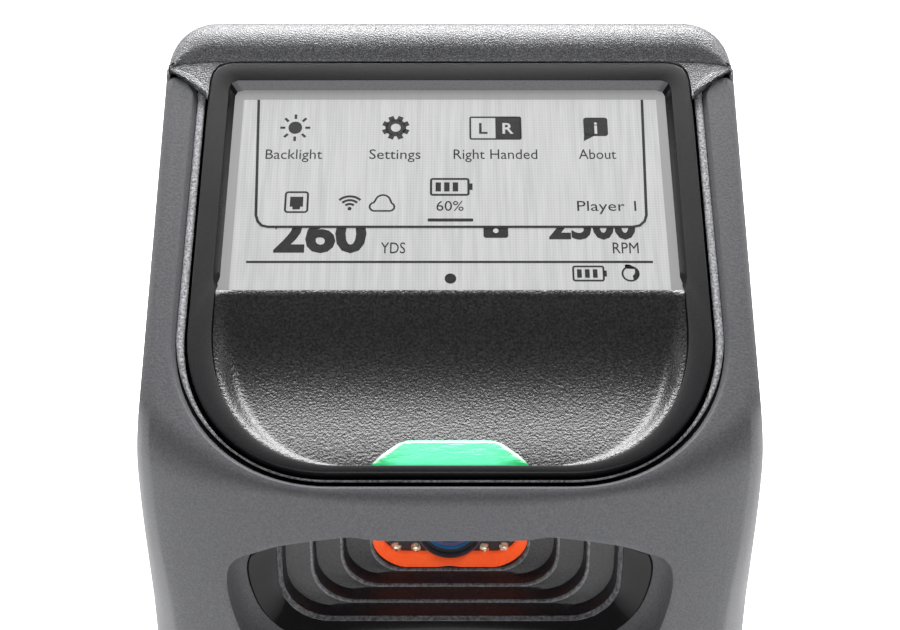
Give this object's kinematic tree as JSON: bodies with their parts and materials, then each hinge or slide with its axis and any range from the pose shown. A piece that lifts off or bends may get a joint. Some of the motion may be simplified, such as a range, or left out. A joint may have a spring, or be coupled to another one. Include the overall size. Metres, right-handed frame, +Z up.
{
  "type": "golf launch monitor",
  "caption": "Free-standing camera-based golf launch monitor: grey tower with a tilted touch screen on top, recessed camera windows in front, a carry handle behind and a hinged port door.",
  "frame": {"origin": "centre of the footprint on the ground, under the middle of the body", "axes": "+Z up, -Y towards the camera windows and the user, +X to the user's right"},
  "size_m": [0.131, 0.179, 0.305],
  "materials": {
    "grey_plastic": "fine matte texture",
    "textured_plastic": "coarse spark-eroded texture",
    "satin_plastic": "satin",
    "soft_grip": "soft touch",
    "foot_rubber": "matte",
    "screen_glass": "polished, anti-glare",
    "lcd_film": "lit screen",
    "white_plastic": "matte",
    "sheet_metal": "zinc-plated sheet",
    "circuit_board": "solder mask",
    "flex_circuit": "polyimide film",
    "green_light": "moulded, lit from behind",
    "gloss_black": "high gloss",
    "matte_black": "matte texture",
    "orange_plastic": "satin",
    "black_metal": "black anodised",
    "coated_glass": "blue anti-reflection coating",
    "clear_lamp": "clear resin dome",
    "aluminium": "extruded",
    "brass": "turned",
    "battery_wrap": "heat-shrink film",
    "steel": "plated",
    "light_ring": "frosted light guide"
  },
  "bodies": {
    "housing": {"front_shell": "grey_plastic", "rear_shell": "textured_plastic", "handle_frame": "textured_plastic", "handle_cover": "soft_grip", "base_plate": "textured_plastic", "rubber_feet": "foot_rubber", "display_bezel": "satin_plastic", "fascia_panel": "textured_plastic", "touch_glass": "screen_glass", "lcd_panel": "lcd_film", "backlight_unit": "white_plastic", "display_tray": "sheet_metal", "display_board": "circuit_board", "display_flex": "flex_circuit", "status_lens": "green_light", "status_board": "circuit_board", "channel_trim": "gloss_black", "upper_camera_bezel": "gloss_black", "lower_camera_bezel": "gloss_black", "upper_lens_hood": "matte_black", "upper_pod_frame": "orange_plastic", "upper_pod_plate": "matte_black", "upper_lens_barrel": "black_metal", "upper_lens_glass": "coated_glass", "upper_camera_board": "circuit_board", "upper_ir_lamps": "clear_lamp", "lower_lens_hood": "matte_black", "lower_pod_frame": "orange_plastic", "lower_pod_plate": "matte_black", "lower_lens_barrels": "black_metal", "lower_lens_glasses": "coated_glass", "lower_camera_board": "circuit_board", "lower_ir_lamps": "clear_lamp", "chassis": "sheet_metal", "main_board": "circuit_board", "processor": "matte_black", "heat_sink": "aluminium", "board_standoffs": "brass", "battery_pack": "battery_wrap", "battery_strap": "sheet_metal", "motion_sensor_board": "circuit_board", "wireless_antenna": "flex_circuit", "port_bay": "matte_black", "port_board": "circuit_board", "usb_c_socket": "sheet_metal", "ethernet_socket": "sheet_metal", "door_pin": "steel", "button_ring": "light_ring", "button_board": "circuit_board", "power_switch": "matte_black", "button_bracket": "sheet_metal", "chassis_screws": "steel", "rear_screws": "steel", "screw_caps": "foot_rubber", "base_screws": "steel", "board_screws": "steel"},
    "port_door": {"port_door": "satin_plastic"},
    "power_button": {"power_button": "satin_plastic"}
  },
  "joints": [
    {"name": "port_door_hinge", "type": "hinge", "parent": "housing", "child": "port_door", "pos_m": [-0.0265, 0.0736, 0.05], "axis": [0, 0, 1], "range_deg": [0, 100]},
    {"name": "power_button_press", "type": "slide", "parent": "housing", "child": "power_button", "axis": [0, -1, 0], "range_m": [0, 0.001], "stiffness_N_per_m": 1500}
  ]
}
